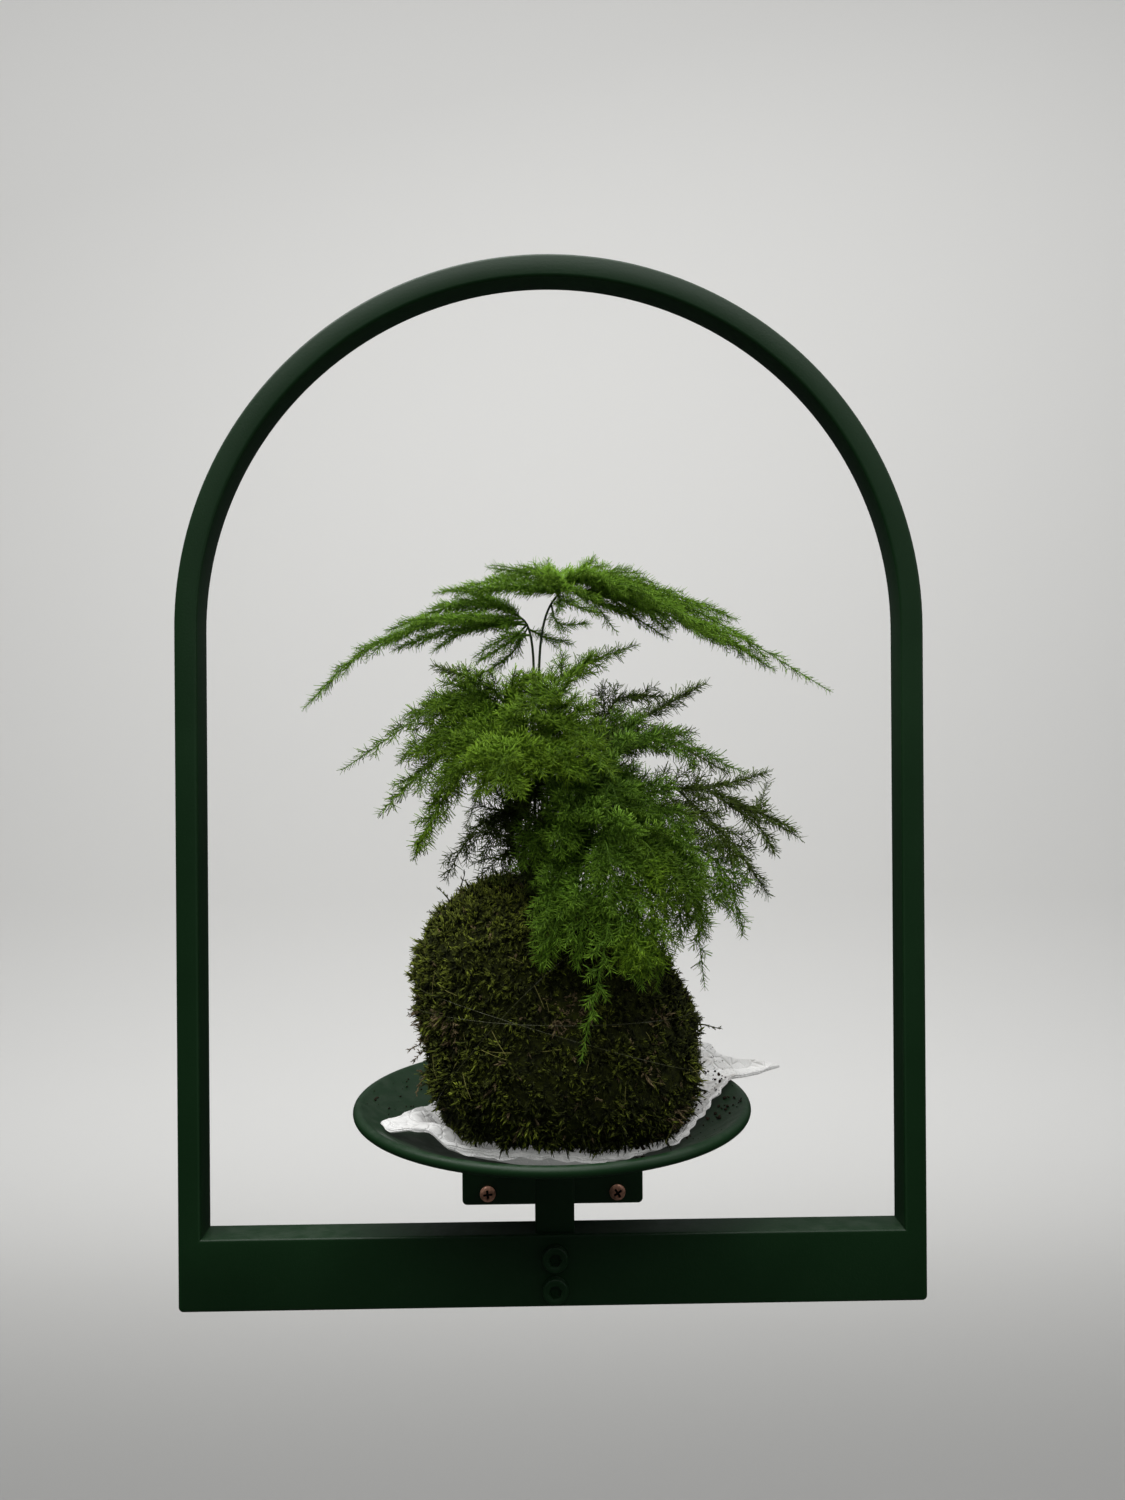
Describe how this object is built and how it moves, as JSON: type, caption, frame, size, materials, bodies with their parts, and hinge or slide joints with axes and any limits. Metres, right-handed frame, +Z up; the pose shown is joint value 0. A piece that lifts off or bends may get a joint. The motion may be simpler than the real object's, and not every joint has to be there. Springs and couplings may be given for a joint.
{
  "type": "kokedama moss ball plant on a wall holder",
  "caption": "Moss-wrapped soil ball with an asparagus fern, resting on paper in a dish inside an arched wall-mounted frame.",
  "frame": {"origin": "centre of the wall plate's back face, on the wall", "axes": "+X to the viewer's right, +Y into the wall, +Z up; the object stands off the wall at negative Y"},
  "size_m": [0.38, 0.2087, 0.534],
  "materials": {
    "green_coat": "dark green satin powder coat",
    "copper_screw": "dull copper-coloured plating",
    "paper": "crumpled white tissue paper with soil specks",
    "moss": "matt olive sheet moss with brown dead strands",
    "soil": "dark damp potting soil",
    "fern_fresh": "fresh yellow-green needles",
    "fern_leaf": "mid green needles",
    "fern_deep": "dark green needles"
  },
  "bodies": {
    "root": {"arch_frame": "green_coat", "bottom_rail": "green_coat", "post": "green_coat", "arm": "green_coat", "wall_plate": "green_coat", "wall_screw_1": "copper_screw", "wall_screw_2": "copper_screw", "wall_screw_3": "copper_screw", "wall_screw_4": "copper_screw", "rail_bolt_1": "green_coat", "rail_bolt_2": "green_coat", "dish": "green_coat", "paper_liner": "paper", "moss_wrap": "moss", "soil_core": "soil", "fern_crest_right": "fern_leaf", "fern_crest_left": "fern_leaf", "fern_left_bright": "fern_fresh", "fern_left_drooping": "fern_fresh", "fern_left_back": "fern_deep", "fern_front_fresh": "fern_fresh", "fern_right_upper": "fern_deep", "fern_right_middle": "fern_leaf", "fern_right_far": "fern_deep", "fern_right_low": "fern_leaf", "fern_front_hanging": "fern_leaf", "fern_front_right": "fern_fresh", "fern_back_left": "fern_deep", "fern_back_right": "fern_deep"}
  },
  "joints": []
}
